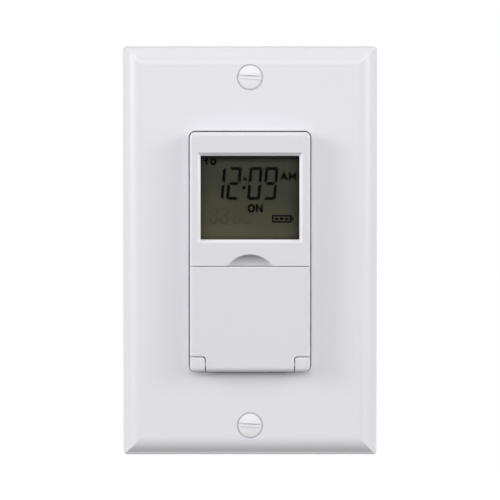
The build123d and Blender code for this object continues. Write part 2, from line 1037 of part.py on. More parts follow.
def door():
    panel = Pos(0, 0, door_back) * extrude(door_outline(), door_thickness + overrun)
    panel &= insert_block()
    cover = panel + door_foot()
    flat_half = unit_width / 2 - unit_edge_round - hair
    front_edges = [
        edge for edge in edges_at(cover, unit_front)
        if abs(edge.center().X) < flat_half and edge.center().Y > hinge_y
    ]
    cover = fillet(front_edges, door_edge_round)
    cover -= seam_lips(seam_lip_clearance)
    pocket_top = door_top - door_pocket_margin
    pocket_foot = shoulder_y + door_pocket_margin
    cover -= rounded_block(
        unit_width - 2 * door_pocket_margin,
        pocket_top - pocket_foot,
        bay_corner_radius,
        door_back + door_pocket_depth,
        door_back - overrun,
        y=(pocket_top + pocket_foot) / 2,
    )
    cover += cross_rod(
        hinge_pin_radius,
        -barrel_half - hinge_pin_length,
        barrel_half + hinge_pin_length,
        hinge_y,
        hinge_z,
    )
    for side in (1, -1):
        middle = (door_back + lip_level) / 2
        cover += block(
            snap_nub_length,
            2 * snap_nub_height,
            middle + snap_nub_thickness / 2,
            middle - snap_nub_thickness / 2,
            x=side * snap_nub_spread / 2,
            y=lip_foot - seam_lip_clearance,
        )
    return cover


# Keys, plungers and switches

def key_list():
    """Name, place and width of every key; the round key has no width."""
    keys = [
        ("manual", key_pitch_across / 2, first_row_y, key_width + key_pitch_across),
        ("reset", -key_pitch_across, first_row_y, 0),
    ]
    for name, column, row in small_keys:
        x = column * key_pitch_across
        y = first_row_y - row * key_pitch_down
        keys.append((name, x, y, key_width))
    return keys


def key_cap(width):
    lip = 2 * key_flange_lip
    if width:
        cap = rounded_block(width, key_height, key_corner_radius, key_top, key_flange_back)
        flange = rounded_block(
            width + lip,
            key_height + lip,
            key_corner_radius + key_flange_lip,
            bay_floor_back,
            key_flange_back,
        )
    else:
        cap = rod(reset_key_radius, bay_floor, key_flange_back)
        flange = rod(reset_key_radius + key_flange_lip, bay_floor_back, key_flange_back)
        return cap + flange
    return fillet(edges_at(cap, key_top), key_top_round) + flange


def switch_plunger():
    foot = control_front + switch_body_height - plunger_sunk_length
    return rod(plunger_radius, key_flange_back, foot)


def switch_body():
    top = control_front + switch_body_height
    floor = top - plunger_sunk_length - key_travel - plunger_clearance
    body = rounded_block(switch_size, switch_size, switch_corner_radius, top, control_front)
    return body - rod(plunger_radius + plunger_clearance, top + overrun, floor)


def tact_switches():
    return [Pos(x, y, 0) * switch_body() for name, x, y, width in key_list()]


# Control board and what it carries

def control_board():
    board = rounded_block(
        board_width, board_height, board_corner_radius, control_front, control_back
    )
    for x, y in board_posts():
        hole = board_screw_radius + plunger_clearance
        board -= rod(hole, control_front + overrun, control_back - overrun, x, y)
    return board


def board_screws():
    screw = pan_screw(
        board_screw_head_radius, board_screw_head_height, board_screw_radius, board_screw_length
    )
    screw -= cross_recess(board_screw_head_radius, board_screw_head_height)
    return [Pos(x, y, control_back) * Rot(X=180) * screw for x, y in board_posts()]


def microcontroller():
    x, y = board_place(controller_place_share)
    across = controller_size + 2 * controller_lead_reach
    leads_width = controller_size - 2 * controller_lead_reach
    lead_back = control_back - controller_lead_height
    chip_back = control_back - controller_height
    chip = block(controller_size, controller_size, control_back, chip_back, x, y)
    chip += block(across, leads_width, control_back, lead_back, x, y)
    return chip + block(leads_width, across, control_back, lead_back, x, y)


def clock_crystal():
    x, y = board_place(crystal_place_share)
    can = extrude(Plane.XZ * Circle(crystal_radius), crystal_length / 2, both=True)
    return Pos(x, y, control_back - crystal_radius) * can


def clock_battery():
    x, y = board_place(battery_place_share)
    return rod(battery_radius, control_back, battery_back, x, y)


def battery_clip():
    """A strip over the cell with a leg on either side."""
    x, y = board_place(battery_place_share)
    leg_inside = battery_radius + clip_leg_gap
    back = battery_back - clip_thickness
    span = 2 * (leg_inside + clip_thickness)
    clip = block(clip_width, span, battery_back, back)
    for side in (1, -1):
        leg_y = side * (leg_inside + clip_thickness / 2)
        clip += block(clip_width, clip_thickness, control_back, back, y=leg_y)
    return Pos(x, y, 0) * clip


def board_header():
    """A row of pins from board to board, in a plastic spacer."""
    length = header_pins * header_pin_spacing
    spacer_back = control_back - header_spacer_height
    row = block(length, header_spacer_width, control_back, spacer_back)
    for index in range(header_pins):
        pin_x = (index + 0.5) * header_pin_spacing - length / 2
        row += rod(header_pin_radius, control_back, power_front, x=pin_x)
    return Pos(0, power_row_y("header"), 0) * row


# Power board and what it carries

def insulating_sheet():
    top = power_row_y("header") - header_spacer_width / 2 - inner_gap
    foot = sheet_foot_margin - power_board_height / 2
    return rounded_block(
        board_width, top - foot, sheet_corner_radius, sheet_front, sheet_back, y=(top + foot) / 2
    )


def power_board():
    return rounded_block(
        board_width, power_board_height, board_corner_radius, power_front, power_back
    )


def standing_case(width, length, height, edge_round, row):
    """A moulded case that stands on the power board, with its upright edges rounded."""
    top = power_front + height
    return rounded_block(width, length, edge_round, top, power_front, y=power_row_y(row))


def relay():
    return standing_case(relay_width, relay_length, relay_height, relay_round, "relay")


def filter_capacitor():
    return standing_case(filter_width, filter_length, filter_height, filter_round, "filter")


def supply_capacitors():
    y = power_row_y("supply")
    can = rod(supply_radius, power_front + supply_height, power_front)
    can = fillet(edges_at(can, power_front + supply_height), supply_round)
    return [Pos(side * supply_spread / 2, y, 0) * can for side in (1, -1)]


def surge_varistor():
    x = (2 * fuse_radius + fuse_gap) / 2
    disc = extrude(Plane.XZ * Circle(varistor_radius), varistor_thickness / 2, both=True)
    middle = power_front + varistor_standoff + varistor_radius
    body = Pos(0, 0, middle) * disc
    for side in (1, -1):
        body += rod(lead_radius, middle, power_front, x=side * varistor_leads / 2)
    return Pos(x, power_row_y("fuse"), 0) * body


def fuse():
    x = -(2 * varistor_radius + fuse_gap) / 2
    return rod(fuse_radius, power_front + fuse_height, power_front, x, power_row_y("fuse"))


def dropper_resistor():
    half = resistor_length / 2
    y = power_row_y("resistor")
    return cross_rod(resistor_radius, -half, half, y, power_front + resistor_radius)


def rectifier_diodes():
    """Two diodes on either side of the relay, above the terminals' tongues."""
    diode = extrude(Plane.XZ * Circle(diode_radius), diode_length / 2, both=True)
    x = relay_width / 2 + diode_gap + diode_radius
    upper = power_row_y("relay") + (relay_length - diode_length) / 2
    lower = upper - diode_length - diode_gap
    z = power_front + diode_radius
    return [Pos(side * x, y, z) * diode for side in (1, -1) for y in (upper, lower)]


# Rear housing and its terminals

def drafted_box(inset, back):
    """The rear housing's outside, or its inside when an inset is given."""
    outline = RectangleRounded(
        rear_width - 2 * inset, rear_height - 2 * inset, rear_corner_radius - inset
    )
    return extrude(Pos(0, 0, flange_back) * outline, back - flange_back, taper=rear_draft)


def terminal_bay_block(side, y, margin):
    """The space of a terminal bay, or the block around it when a margin is given."""
    floor_x = terminal_floor_x - margin
    width = rear_width - floor_x
    front = power_front + terminal_plate_length + terminal_bay_gap + margin
    x = side * (floor_x + width / 2)
    height = terminal_bay_height + 2 * margin
    return block(width, height, front, rear_back - overrun, x, y)


def terminal_wall_cuts(side, y):
    """The slot for a terminal's tongue and the hole for its screw."""
    clearance = terminal_slot_clearance
    slot = block(
        terminal_bay_depth,
        terminal_tongue_width + 2 * clearance,
        power_front + terminal_tongue_thickness + clearance,
        power_front - clearance,
        x=side * terminal_floor_x,
        y=y,
    )
    hole = cross_rod(
        terminal_screw_radius + terminal_screw_hole_clearance,
        -terminal_bay_depth / 2,
        terminal_bay_depth / 2,
        y,
        terminal_z,
    )
    return slot + Pos(side * terminal_floor_x, 0, 0) * hole


def rear_housing():
    shell = drafted_box(0, rear_back)
    body = shell - drafted_box(rear_wall, rear_inside)
    for x, y in four_corners(column_x, column_y):
        body += rod(column_radius, boss_back, rear_inside - rear_wall / 2, x, y) & shell
    for side, y in terminal_sides:
        body += terminal_bay_block(side, y, terminal_bay_wall) & shell
    for side, y in terminal_sides:
        body -= terminal_bay_block(side, y, 0)
        body -= terminal_wall_cuts(side, y)
    rest_x = board_rest_place_share[0] * board_width
    rest_y = board_rest_place_share[1] * power_board_height
    for x, y in four_corners(rest_x, rest_y):
        body += rod(board_rest_radius, power_back, rear_inside - rear_wall / 2, x, y)
    for x, y in four_corners(column_x, column_y):
        hole = case_screw_radius + case_screw_hole_clearance
        body -= rod(hole, boss_back + overrun, rear_back - overrun, x, y)
        recess_floor = rear_back + case_screw_recess_depth
        body -= rod(case_screw_recess_radius, recess_floor, rear_back - overrun, x, y)
    return body


def case_screws():
    seat = rear_back + case_screw_recess_depth
    length = boss_back + case_screw_grip - seat
    screw = pan_screw(case_screw_head_radius, case_screw_head_height, case_screw_radius, length)
    screw -= cross_recess(case_screw_head_radius, case_screw_head_height)
    return [Pos(x, y, seat) * Rot(X=180) * screw for x, y in four_corners(column_x, column_y)]


def terminal_frame(side, y):
    """Turns a piece drawn with +z out of the bay's floor to face that side of the housing."""
    return Pos(side * terminal_floor_x, y, terminal_z) * Rot(Y=side * 90)


def terminal_plates():
    plates = []
    for side, y in terminal_sides:
        face_x = side * (terminal_floor_x + terminal_plate_thickness / 2)
        plate = block(
            terminal_plate_thickness,
            terminal_plate_width,
            power_front + terminal_plate_length,
            power_front,
            face_x,
            y,
        )
        tongue_tip = board_width / 2 - terminal_tongue_overlap
        tongue_length = terminal_floor_x - tongue_tip
        plate += block(
            tongue_length,
            terminal_tongue_width,
            power_front + terminal_tongue_thickness,
            power_front,
            side * (tongue_tip + tongue_length / 2),
            y,
        )
        hole = rod(
            terminal_screw_radius + thread_clearance, terminal_bay_depth, -terminal_bay_depth
        )
        plates.append(plate - terminal_frame(side, y) * hole)
    return plates


def clamp_plates():
    front = 2 * terminal_plate_thickness
    plate = block(
        terminal_plate_length, terminal_plate_width, front, terminal_plate_thickness
    )
    hole = terminal_screw_radius + terminal_screw_hole_clearance
    plate -= rod(hole, front + overrun, 0)
    return [terminal_frame(side, y) * plate for side, y in terminal_sides]


def terminal_screw(side, y):
    seat = 2 * terminal_plate_thickness
    length = seat + terminal_bay_wall - terminal_screw_tip_gap
    screw = pan_screw(
        terminal_screw_head_radius, terminal_screw_head_height, terminal_screw_radius, length
    )
    screw -= block(
        2 * terminal_screw_head_radius,
        terminal_slot_width,
        terminal_screw_head_height + overrun,
        terminal_screw_head_height - terminal_slot_depth,
    )
    return terminal_frame(side, y) * Pos(0, 0, seat) * screw


def hot_terminal_screws():
    return [terminal_screw(side, y) for side, y in terminal_sides if side > 0]


def neutral_terminal_screw():
    return [terminal_screw(side, y) for side, y in terminal_sides if side < 0]


# Every piece by the name of its file

pieces = {
    "wall_plate": wall_plate(),
    "plate_screws": plate_screws(),
    "mounting_strap": mounting_strap(),
    "ground_screw": ground_screw(),
    "box_screws": box_screws(),
    "screw_retainers": screw_retainers(),
    "front_housing": front_housing(),
    "display_window": display_window(),
    "lcd_panel": lcd_panel(),
    "lcd_reflector": lcd_reflector(),
    "lcd_holder": lcd_holder(),
    "zebra_strips": zebra_strips(),
    "door": door(),
    "tact_switches": tact_switches(),
    "control_board": control_board(),
    "board_screws": board_screws(),
    "microcontroller": microcontroller(),
    "clock_crystal": clock_crystal(),
    "clock_battery": clock_battery(),
    "battery_clip": battery_clip(),
    "board_header": board_header(),
    "insulating_sheet": insulating_sheet(),
    "power_board": power_board(),
    "relay": relay(),
    "filter_capacitor": filter_capacitor(),
    "supply_capacitors": supply_capacitors(),
    "surge_varistor": surge_varistor(),
    "fuse": fuse(),
    "dropper_resistor": dropper_resistor(),
    "rectifier_diodes": rectifier_diodes(),
    "rear_housing": rear_housing(),
    "case_screws": case_screws(),
    "terminal_plates": terminal_plates(),
    "clamp_plates": clamp_plates(),
    "hot_terminal_screws": hot_terminal_screws(),
    "neutral_terminal_screw": neutral_terminal_screw(),
}
for key_name, key_x, key_y, cap_width in key_list():
    pieces[key_name + "_key"] = Pos(key_x, key_y, 0) * key_cap(cap_width)
    pieces[key_name + "_plunger"] = Pos(key_x, key_y, 0) * switch_plunger()

upright = Rot(X=90)
for piece_name, piece in pieces.items():
    solids = piece if isinstance(piece, list) else [piece]
    standing = [upright * solid for solid in solids]
    saved = standing[0] if len(standing) == 1 else Compound(children=standing)
    export_step(saved, os.path.join("parts", piece_name + ".step"))
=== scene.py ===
import math

import bmesh
import bpy
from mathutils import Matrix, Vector


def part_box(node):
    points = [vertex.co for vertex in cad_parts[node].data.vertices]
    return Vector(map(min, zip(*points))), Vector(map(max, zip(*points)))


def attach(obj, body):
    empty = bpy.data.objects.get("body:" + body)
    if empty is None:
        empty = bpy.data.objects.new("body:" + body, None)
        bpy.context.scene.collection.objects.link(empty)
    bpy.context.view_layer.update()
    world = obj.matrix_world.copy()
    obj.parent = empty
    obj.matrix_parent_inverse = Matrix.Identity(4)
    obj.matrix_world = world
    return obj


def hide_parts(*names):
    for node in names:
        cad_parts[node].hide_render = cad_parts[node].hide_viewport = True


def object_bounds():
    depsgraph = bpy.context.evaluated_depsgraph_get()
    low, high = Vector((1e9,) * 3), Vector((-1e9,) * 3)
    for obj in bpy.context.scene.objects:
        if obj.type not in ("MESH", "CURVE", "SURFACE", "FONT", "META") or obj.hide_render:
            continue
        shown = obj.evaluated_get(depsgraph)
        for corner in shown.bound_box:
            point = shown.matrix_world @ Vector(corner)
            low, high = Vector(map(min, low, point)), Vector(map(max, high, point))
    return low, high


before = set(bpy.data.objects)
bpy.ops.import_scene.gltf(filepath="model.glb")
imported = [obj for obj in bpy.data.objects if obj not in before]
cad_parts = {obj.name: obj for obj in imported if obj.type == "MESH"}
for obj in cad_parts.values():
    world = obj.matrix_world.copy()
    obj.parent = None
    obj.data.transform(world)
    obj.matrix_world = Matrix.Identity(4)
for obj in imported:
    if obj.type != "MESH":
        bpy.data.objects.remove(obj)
cadLow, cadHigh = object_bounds()
print("frame loaded:", len(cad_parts), "nodes")

# The front of the timer faces -Y, +X is to the right and +Z is up. All lengths are in metres.
mm = 0.001
white = (1, 1, 1)
black = (0, 0, 0)
scene = bpy.context.scene
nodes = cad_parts


# Shader wiring

class Wire:
    def __init__(self, finish, socket):
        self.finish = finish
        self.socket = socket

    def other(self, name):
        # Another output of the same node
        return Wire(self.finish, self.socket.node.outputs[name])

    def maths(self, operation, first, second=0.0):
        values = {0: first, 1: second}
        return self.finish.add("ShaderNodeMath", {"operation": operation}, values)

    def __abs__(self):
        return self.maths("ABSOLUTE", self)

    # Comparisons give 1 where they hold and 0 elsewhere
    def __lt__(self, other):
        return self.maths("LESS_THAN", self, other)

    def __gt__(self, other):
        return self.maths("GREATER_THAN", self, other)

    def __add__(self, other):
        return self.maths("ADD", self, other)

    def __radd__(self, other):
        return self.maths("ADD", other, self)

    def __sub__(self, other):
        return self.maths("SUBTRACT", self, other)

    def __rsub__(self, other):
        return self.maths("SUBTRACT", other, self)

    def __mul__(self, other):
        return self.maths("MULTIPLY", self, other)

    def __rmul__(self, other):
        return self.maths("MULTIPLY", other, self)

    def __truediv__(self, other):
        return self.maths("DIVIDE", self, other)

    def __rtruediv__(self, other):
        return self.maths("DIVIDE", other, self)


class Finish:
    # One material or world, with the method that adds every kind of node to it
    def __init__(self, owner):
        owner.use_nodes = True
        self.owner = owner
        self.tree = owner.node_tree
        self.tree.nodes.clear()

    def add(self, kind, settings=None, sockets=None, output=0):
        node = self.tree.nodes.new(kind)
        for name, value in (settings or {}).items():
            setattr(node, name, value)
        for name, value in (sockets or {}).items():
            socket = node.inputs[name]
            if isinstance(value, Wire):
                self.tree.links.new(value.socket, socket)
            elif isinstance(value, tuple) and len(value) == 3 and socket.type == "RGBA":
                socket.default_value = (*value, 1)
            else:
                socket.default_value = value
        return Wire(self, node.outputs[output]) if len(node.outputs) else None

    # Place on the object, in metres from its origin
    def place(self):
        return self.add("ShaderNodeTexCoord", output=3)

    # The same place as its X, Y and Z
    def axes(self):
        across = self.add("ShaderNodeSeparateXYZ", sockets={0: self.place()})
        return across, across.other("Y"), across.other("Z")

    def noise(self, scale, detail=2.0, roughness=0.5, stretch=None):
        vector = self.place()
        if stretch:
            vector = self.add(
                "ShaderNodeVectorMath", {"operation": "MULTIPLY"}, {0: vector, 1: stretch}
            )
        sockets = {"Vector": vector, "Scale": scale, "Detail": detail, "Roughness": roughness}
        return self.add("ShaderNodeTexNoise", sockets=sockets)

    def blend(self, factor, first, second):
        # The colour sockets of a Mix node are its seventh and eighth
        return self.add(
            "ShaderNodeMix", {"data_type": "RGBA"}, {0: factor, 6: first, 7: second}, output=2
        )

    def between(self, value, low, high):
        sockets = {"Value": value, "To Min": low, "To Max": high}
        return self.add("ShaderNodeMapRange", sockets=sockets)

    def bump(self, height, distance):
        sockets = {"Height": height, "Distance": distance, "Strength": 1.0}
        return self.add("ShaderNodeBump", sockets=sockets)

    def surface(self, sockets):
        self.finishWith(self.add("ShaderNodeBsdfPrincipled", sockets=sockets))

    def finishWith(self, shader):
        self.add("ShaderNodeOutputMaterial", sockets={"Surface": shader})


def newFinish(name):
    return Finish(bpy.data.materials.new(name))


def dress(finish, *names):
    for name in names:
        mesh = nodes[name].data
        mesh.materials.clear()
        mesh.materials.append(finish.owner)


# White mouldings: the plate, the insert and its cover. Here and below a noise is listed by its
# scale, detail, roughness and stretch, as far as they are needed, and roughnesses from low to high.

whiteLook = {
    "plate": ((0.735, 0.728, 0.768), (0.715, 0.71, 0.752)),
    "insert": ((0.682, 0.676, 0.712), (0.665, 0.66, 0.698)),
    "insertFront": -9.6 * mm,  # where the insert's flat front stands, along Y
    "clouds": (45, 3.0),
    "peel": (1900, 1.0),
    "peelHeight": 0.0000025,
    "roughness": (0.3, 0.38),
    "refraction": 1.49,
}


# Painted shade in the finger notch: darkest at its top, lighter downward, with a painted shadow line
# along its foot at the seam
paintedNotchShadeLook = {
    "halfWidth": 6.6 * mm,
    "top": -0.4 * mm,
    "foot": -4.15 * mm,
    "rim": 0.3 * mm,  # depth behind the insert's front over which the shade sets in
    "shade": 0.58,
    "shadeReach": 3.2 * mm,
    "seamShade": 0.68,
    "seamReach": 0.55 * mm,
}


def paintedNotchShade(finish):
    look = paintedNotchShadeLook
    across, deep, height = finish.axes()
    sunk = finish.between((deep - whiteLook["insertFront"]) / look["rim"], 0.0, 1.0)
    inside = (abs(across) < look["halfWidth"]) * (height < look["top"]) * (height > look["foot"])
    shade = finish.between((look["top"] - height) / look["shadeReach"], look["shade"], 0.0)
    seam = finish.between((height - look["foot"]) / look["seamReach"], look["seamShade"], 0.0)
    return sunk * inside * (shade + seam)


# Painted shade: a thin dark ring in the gap round each plate screw, and a painted shadow line along the
# lower edge of its slot
paintedScrewShadeLook = {
    "screwHeight": 48.42 * mm,
    "radius": 3.42 * mm,
    "width": 0.38 * mm,
    "shade": 0.4,
    "slotTurn": math.radians(-3.3),
    "slotEdge": -0.55 * mm,
    "slotReach": 2.9 * mm,
    "slotLine": 0.26 * mm,
    "paintedSlotShade": 0.34,
}


def paintedRingShade(finish):
    look = paintedScrewShadeLook
    across, _, height = finish.axes()
    beside = abs(height) - look["screwHeight"]
    reach = across.maths("SQRT", across * across + beside * beside)
    return finish.between(abs(reach - look["radius"]) / look["width"], look["shade"], 0.0)


def paintedSlotShade(finish):
    look = paintedScrewShadeLook
    across, _, height = finish.axes()
    rise = height - height.maths("SIGN", height) * look["screwHeight"]
    beside = rise * math.cos(look["slotTurn"]) - across * math.sin(look["slotTurn"])
    line = abs(beside - look["slotEdge"]) / look["slotLine"]
    return finish.between(line, look["paintedSlotShade"], 0.0) * (abs(across) < look["slotReach"])


# Painted shade on the plate: a dark painted shadow just under the insert, a thin painted shade
# along the plate's top edge, and a faint one dimming the highlight on the inner half of its top rim
paintedPlateShadeLook = {
    "insertFoot": -33.53 * mm,
    "footHalf": 12.0 * mm,
    "footFade": 2.5 * mm,
    "footReach": 1.0 * mm,
    "footShade": 0.45,
    "face": -5.2 * mm,
    "edgeReach": 0.9 * mm,
    "edgeShade": 0.24,
    "rimHeight": 53.5 * mm,
    "rimReach": 2.2 * mm,
    "rimShade": 0.09,
    "rimHalf": 31.8 * mm,
    "rimFade": 1.0 * mm,
}


def paintedPlateShade(finish):
    look = paintedPlateShadeLook
    across, deep, height = finish.axes()
    below = look["insertFoot"] - height
    under = finish.between(below / look["footReach"], look["footShade"], 0.0) * (below > 0.0)
    middle = finish.between((look["footHalf"] - abs(across)) / look["footFade"], 0.0, 1.0)
    foot = under * middle * (deep < look["face"])
    edge = finish.between((cadHigh.z - height) / look["edgeReach"], look["edgeShade"], 0.0)
    line = abs(height - look["rimHeight"]) / look["rimReach"]
    mitre = finish.between((look["rimHalf"] - abs(across)) / look["rimFade"], 0.0, 1.0)
    rim = finish.between(line, look["rimShade"], 0.0) * mitre
    return paintedRingShade(finish) + foot + edge + rim


# Painted light on the bevels round the display, lighter than the rest of the insert, most of all at the
# top
paintedFrameLightLook = {
    "halfWidth": 14.7 * mm,
    "halfHeight": 12.6 * mm,
    "rim": 0.15 * mm,  # depth behind the insert's front over which the light sets in
    # Colour of the painted light on the bevels
    "light": (0.82, 0.812, 0.855),
    "footShare": 0.3,
}


def paintedFrameLight(finish):
    look = paintedFrameLightLook
    low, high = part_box("display_window")
    across, deep, height = finish.axes()
    rise = height - (low.z + high.z) / 2
    sunk = finish.between((deep - whiteLook["insertFront"]) / look["rim"], 0.0, 1.0)
    inside = (abs(across) < look["halfWidth"]) * (abs(rise) < look["halfHeight"])
    share = finish.between(rise / look["halfHeight"] / 2 + 0.5, look["footShare"], 1.0)
    return sunk * inside * share


def whiteMoulding(name, kind, shadow=None, lighter=None):
    look = whiteLook
    finish = newFinish(name)
    clouds = finish.noise(*look["clouds"])
    tint = finish.blend(clouds, *look[kind])
    # Where given, painted light lightens the colour and painted shade darkens it towards black
    if lighter:
        tint = finish.blend(lighter(finish), tint, paintedFrameLightLook["light"])
    if shadow:
        tint = finish.blend(shadow(finish), tint, black)
    finish.surface(
        {
            "Base Color": tint,
            "Roughness": finish.between(clouds, *look["roughness"]),
            "Normal": finish.bump(finish.noise(*look["peel"]), look["peelHeight"]),
            "IOR": look["refraction"],
        }
    )
    return finish


def dressMouldings():
    # The plate and the insert carry painted shade, and the insert painted light on its display bevels
    dress(whiteMoulding("plateWhite", "plate", paintedPlateShade), "wall_plate")
    dress(whiteMoulding("insertWhite", "insert", paintedNotchShade, paintedFrameLight), "front_housing")
    dress(whiteMoulding("coverWhite", "insert"), "door")


# White enamel on the plate's screws, finely speckled, with painted shade round each head and along its
# slot

enamelLook = {
    "colour": (0.8, 0.8, 0.81),
    "worn": (0.74, 0.74, 0.755),
    "speckle": (2600, 3.0),
    "speckleHeight": 0.000012,
    "roughness": (0.28, 0.5),
}


def screwEnamel():
    look = enamelLook
    finish = newFinish("screwEnamel")
    speckle = finish.noise(*look["speckle"])
    paint = finish.blend(speckle, look["colour"], look["worn"])
    finish.surface(
        {
            "Base Color": finish.blend(paintedRingShade(finish) + paintedSlotShade(finish), paint, black),
            "Roughness": finish.between(speckle, *look["roughness"]),
            "Normal": finish.bump(speckle, look["speckleHeight"]),
        }
    )
    return finish


# Bare and plated metals, each with two colours and two roughnesses

metalLook = {
    "zinc": ((0.56, 0.57, 0.58), (0.44, 0.45, 0.47), 0.3, 0.46),
    "nickel": ((0.66, 0.65, 0.62), (0.58, 0.57, 0.55), 0.18, 0.3),
    "brass": ((0.78, 0.55, 0.24), (0.62, 0.42, 0.18), 0.22, 0.4),
    "tin": ((0.7, 0.7, 0.69), (0.6, 0.6, 0.6), 0.2, 0.34),
    "clouds": (120, 4.0, 0.6),
    "brush": (260, 3.0, 0.6, (9.0, 9.0, 0.6)),
    "brushHeight": 0.000004,
    "cloudShare": 0.6,
}


def metal(name, kind):
    look = metalLook
    bright, dull, smooth, rough = look[kind]
    finish = newFinish(name)
    clouds = finish.noise(*look["clouds"])
    brush = finish.noise(*look["brush"])
    worn = clouds * look["cloudShare"] + brush * (1 - look["cloudShare"])
    finish.surface(
        {
            "Base Color": finish.blend(clouds, bright, dull),
            "Metallic": 1.0,
            "Roughness": finish.between(worn, smooth, rough),
            "Normal": finish.bump(brush, look["brushHeight"]),
        }
    )
    return finish


# Green lacquer on the ground screw

lacquerLook = {
    "colour": (0.03, 0.28, 0.08),
    "deep": (0.02, 0.2, 0.06),
    "clouds": (500, 3.0),
    "metallic": 0.35,
    "roughness": (0.25, 0.4),
    "coat": 0.4,
}


def greenLacquer():
    look = lacquerLook
    finish = newFinish("greenLacquer")
    clouds = finish.noise(*look["clouds"])
    finish.surface(
        {
            "Base Color": finish.blend(clouds, look["colour"], look["deep"]),
            "Metallic": look["metallic"],
            "Roughness": finish.between(clouds, *look["roughness"]),
            "Coat Weight": look["coat"],
        }
    )
    return finish


# Plain plastics and other dull finishes inside and behind: two colours, two roughnesses, and the
# scale and height of the grain

dullLook = {
    "rearPlastic": ((0.022, 0.022, 0.024), (0.032, 0.032, 0.035), 0.42, 0.56, 2400, 0.000012),
    "keyPlastic": ((0.42, 0.43, 0.45), (0.38, 0.39, 0.41), 0.45, 0.55, 2200, 0.000006),
    "holderPlastic": ((0.6, 0.6, 0.55), (0.55, 0.55, 0.5), 0.45, 0.55, 900, 0.000004),
    "fibre": ((0.3, 0.06, 0.035), (0.2, 0.04, 0.028), 0.6, 0.75, 1500, 0.00002),
    "elastomer": ((0.42, 0.2, 0.18), (0.32, 0.14, 0.13), 0.6, 0.7, 3000, 0.000004),
    "solderMask": ((0.015, 0.12, 0.05), (0.01, 0.085, 0.035), 0.3, 0.42, 400, 0.000004),
    "chipPlastic": ((0.02, 0.02, 0.021), (0.03, 0.03, 0.031), 0.5, 0.6, 2600, 0.000006),
    "headerPlastic": ((0.02, 0.02, 0.02), (0.026, 0.026, 0.026), 0.4, 0.5, 1200, 0.000004),
    "sheetFilm": ((0.62, 0.56, 0.42), (0.56, 0.5, 0.37), 0.35, 0.45, 300, 0.000004),
    "relayPlastic": ((0.02, 0.035, 0.1), (0.016, 0.028, 0.085), 0.35, 0.45, 900, 0.000004),
    "filmCase": ((0.62, 0.4, 0.03), (0.56, 0.35, 0.025), 0.3, 0.4, 700, 0.000003),
    "capacitorSleeve": ((0.018, 0.022, 0.05), (0.014, 0.018, 0.042), 0.22, 0.3, 500, 0.000003),
    "varistorLacquer": ((0.03, 0.1, 0.36), (0.025, 0.08, 0.3), 0.3, 0.45, 1200, 0.00002),
    "fusePlastic": ((0.025, 0.02, 0.018), (0.03, 0.026, 0.022), 0.35, 0.45, 900, 0.000004),
    "resistorLacquer": ((0.2, 0.25, 0.26), (0.17, 0.21, 0.22), 0.45, 0.55, 1500, 0.00001),
    "reflectorFilm": ((0.4, 0.42, 0.38), (0.36, 0.38, 0.34), 0.3, 0.4, 800, 0.000002),
}


def dull(kind):
    first, second, smooth, rough, scale, height = dullLook[kind]
    finish = newFinish(kind)
    grain = finish.noise(scale)
    finish.surface(
        {
            "Base Color": finish.blend(grain, first, second),
            "Roughness": finish.between(grain, smooth, rough),
            "Normal": finish.bump(grain, height),
        }
    )
    return finish


def dressHardware():
    dress(screwEnamel(), "plate_screws")
    dress(metal("zincSteel", "zinc"), "mounting_strap", "box_screws", "case_screws", "board_screws")
    dress(metal("plainBrass", "brass"), "terminal_plates", "clamp_plates", "hot_terminal_screws")
    dress(metal("nickelPlate", "nickel"), "neutral_terminal_screw", "battery_clip")
    dress(metal("drawnCan", "tin"), "clock_crystal", "clock_battery")
    dress(greenLacquer(), "ground_screw")
    dress(dull("fibre"), "screw_retainers")
    dress(dull("rearPlastic"), "rear_housing")


def dressInside():
    dress(dull("holderPlastic"), "lcd_holder")
    dress(dull("reflectorFilm"), "lcd_reflector")
    dress(dull("elastomer"), "zebra_strips")
    dress(dull("solderMask"), "control_board", "power_board")
    dress(dull("headerPlastic"), "board_header")
    dress(dull("sheetFilm"), "insulating_sheet")
    dress(dull("relayPlastic"), "relay")
    dress(dull("filmCase"), "filter_capacitor")
    dress(dull("capacitorSleeve"), "supply_capacitors")
    dress(dull("varistorLacquer"), "surge_varistor")
    dress(dull("fusePlastic"), "fuse")
    dress(dull("resistorLacquer"), "dropper_resistor")
    dress(dull("keyPlastic"), *[name for name in nodes if name.endswith("_key")])
    plungers = [name for name in nodes if name.endswith("_plunger")]
    dress(dull("chipPlastic"), "microcontroller", "rectifier_diodes", "tact_switches", *plungers)


# Display: clear pane, dark olive glass and the figures on it

displayLook = {
    "warm": (0.122, 0.108, 0.067),
    "cool": (0.05, 0.052, 0.035),
    # Dark tone that the painted shade of the bezel reaches near the glass's borders
    "bezelShadeTone": (0.004, 0.004, 0.003),
    "ink": (0.002, 0.002, 0.003),
    "ghost": (0.083, 0.075, 0.047),
    "shadeReach": {"left": 3.0 * mm, "right": 3.0 * mm, "top": 1.8 * mm, "foot": 1.4 * mm},
    "shadeDepth": {"left": 0.3, "right": 0.55, "top": 0.95, "foot": 0.3},
    "hiddenMargin": 1.15 * mm,
    "topShadeInset": 0.4 * mm,
    "inkGap": 0.03 * mm,
    "inkThickness": 0.04 * mm,
    "blotches": (150, 3.0),
    "blotchShare": 0.3,
    "coolAcross": 0.45,
    "coolUpward": 1.25,
    "roughness": (0.4, 0.55),
    "specular": 0.08,
}

paneLook = {
    "smearScale": 140,
    "gloss": 1.08,
    "roughness": (0.02, 0.06),
    "clear": (0.97, 0.975, 0.97),
}


def clearPane():
    look = paneLook
    finish = newFinish("clearPane")
    smear = finish.noise(look["smearScale"])
    facing = finish.add("ShaderNodeFresnel", sockets={"IOR": look["gloss"]})
    gloss = {"Color": white, "Roughness": finish.between(smear, *look["roughness"])}
    mirror = finish.add("ShaderNodeBsdfAnisotropic", sockets=gloss)
    clear = finish.add("ShaderNodeBsdfTransparent", sockets={"Color": look["clear"]})
    finish.finishWith(finish.add("ShaderNodeMixShader", sockets={0: facing, 1: clear, 2: mirror}))
    return finish


